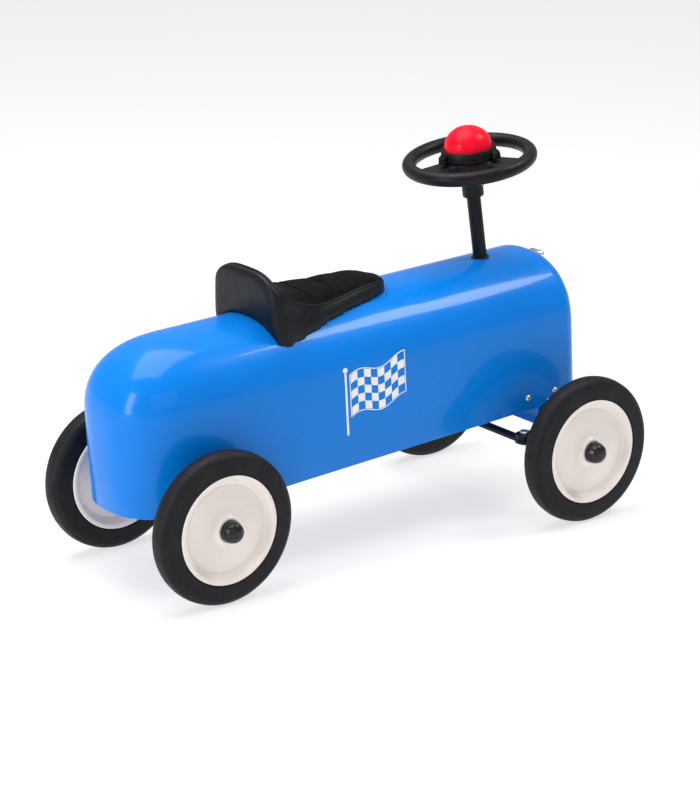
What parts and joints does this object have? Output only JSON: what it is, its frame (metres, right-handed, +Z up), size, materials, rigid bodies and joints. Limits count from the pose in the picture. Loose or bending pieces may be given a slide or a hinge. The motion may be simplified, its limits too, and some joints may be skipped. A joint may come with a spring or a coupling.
{
  "type": "foot-to-floor ride-on car",
  "caption": "Toddler's foot-to-floor racing car: rounded steel body, disc wheels, padded seat, and a steering wheel with a press horn that turns the front wheels.",
  "frame": {"origin": "on the ground, under the middle of the car's bounding box", "axes": "+X to the car's nose, +Y to its left, +Z up"},
  "size_m": [0.645, 0.3482, 0.4423],
  "materials": {
    "blue_paint": "high gloss enamel on pressed steel",
    "black_paint": "satin black paint on steel",
    "black_plastic": "satin moulded plastic",
    "black_vinyl": "grained vinyl over foam",
    "tyre_rubber": "smooth black rubber",
    "cream_enamel": "semi-gloss cream enamel on pressed steel",
    "red_rubber": "glossy soft red rubber",
    "chrome": "polished",
    "zinc": "bright zinc plate",
    "nylon": "moulded nylon"
  },
  "bodies": {
    "chassis": {"body_shell": "blue_paint", "seat": "black_vinyl", "seat_bolt_1": "zinc", "seat_bolt_2": "zinc", "grille_bars": "chrome", "grille_surround": "chrome", "grille_cap": "chrome", "column_upper_bush": "nylon", "column_lower_bush": "nylon", "front_saddle": "blue_paint", "rear_saddle": "blue_paint", "front_axle_beam": "blue_paint", "front_axle_bar": "black_paint", "rear_axle": "zinc", "rear_spacer_right": "black_plastic", "rear_spacer_left": "black_plastic", "front_screw_right_1": "zinc", "front_screw_right_2": "zinc", "front_screw_left_1": "zinc", "front_screw_left_2": "zinc", "rear_screw_right_1": "zinc", "rear_screw_right_2": "zinc", "hub_cap_rear_right": "black_plastic", "rear_screw_left_1": "zinc", "rear_screw_left_2": "zinc", "hub_cap_rear_left": "black_plastic", "kingpin_right": "black_plastic", "kingpin_nut_right": "zinc", "kingpin_left": "black_plastic", "kingpin_nut_left": "zinc"},
    "steering": {"steering_column": "black_paint", "steering_crank": "zinc", "steering_wheel": "black_plastic", "collar_screw": "zinc", "horn_base": "black_plastic", "horn_screw_1": "black_paint", "horn_screw_2": "black_paint", "horn_screw_3": "black_paint", "horn_reed": "nylon"},
    "horn_button": {"horn_bulb": "red_rubber"},
    "tie_rod_link": {"tie_rod": "black_paint"},
    "stub_right": {"knuckle_right": "black_paint", "stub_axle_right": "zinc", "tie_rod_rivet_right": "zinc", "hub_cap_front_right": "black_plastic"},
    "wheel_front_right": {"rim_front_right": "cream_enamel", "tyre_front_right": "tyre_rubber"},
    "wheel_rear_right": {"rim_rear_right": "cream_enamel", "tyre_rear_right": "tyre_rubber"},
    "stub_left": {"knuckle_left": "black_paint", "stub_axle_left": "zinc", "tie_rod_rivet_left": "zinc", "hub_cap_front_left": "black_plastic"},
    "wheel_front_left": {"rim_front_left": "cream_enamel", "tyre_front_left": "tyre_rubber"},
    "wheel_rear_left": {"rim_rear_left": "cream_enamel", "tyre_rear_left": "tyre_rubber"}
  },
  "joints": [
    {"name": "steering_turn", "type": "hinge", "parent": "chassis", "child": "steering", "pos_m": [0.1965, 0, 0.2921], "axis": [-0.1478, 0, 0.989], "range_deg": [-33, 33]},
    {"name": "horn_press", "type": "slide", "parent": "steering", "child": "horn_button", "axis": [0.1478, 0, -0.989], "range_m": [0, 0.006], "stiffness_N_per_m": 500},
    {"name": "kingpin_right_turn", "type": "hinge", "parent": "chassis", "child": "stub_right", "pos_m": [0.2375, -0.091, 0.11], "axis": [0, 0, 1], "range_deg": [-25, 25]},
    {"name": "kingpin_left_turn", "type": "hinge", "parent": "chassis", "child": "stub_left", "pos_m": [0.2375, 0.091, 0.11], "axis": [0, 0, 1], "range_deg": [-25, 25]},
    {"name": "tie_rod_swing", "type": "hinge", "parent": "stub_right", "child": "tie_rod_link", "pos_m": [0.1915, -0.091, 0.09], "axis": [0, 0, 1], "range_deg": [-25, 25]},
    {"name": "wheel_front_right_spin", "type": "hinge", "parent": "stub_right", "child": "wheel_front_right", "pos_m": [0.2375, -0.144, 0.085], "axis": [0, 1, 0], "continuous": true},
    {"name": "wheel_front_left_spin", "type": "hinge", "parent": "stub_left", "child": "wheel_front_left", "pos_m": [0.2375, 0.144, 0.085], "axis": [0, 1, 0], "continuous": true},
    {"name": "wheel_rear_right_spin", "type": "hinge", "parent": "chassis", "child": "wheel_rear_right", "pos_m": [-0.2375, -0.1071, 0.085], "axis": [0, 1, 0], "continuous": true},
    {"name": "wheel_rear_left_spin", "type": "hinge", "parent": "chassis", "child": "wheel_rear_left", "pos_m": [-0.2375, 0.1071, 0.085], "axis": [0, 1, 0], "continuous": true}
  ],
  "couplings": [
    {"joint": "kingpin_right_turn", "follows": "steering_turn", "ratio": 0.75},
    {"joint": "kingpin_left_turn", "follows": "steering_turn", "ratio": 0.75},
    {"joint": "tie_rod_swing", "follows": "steering_turn", "ratio": -0.75}
  ]
}
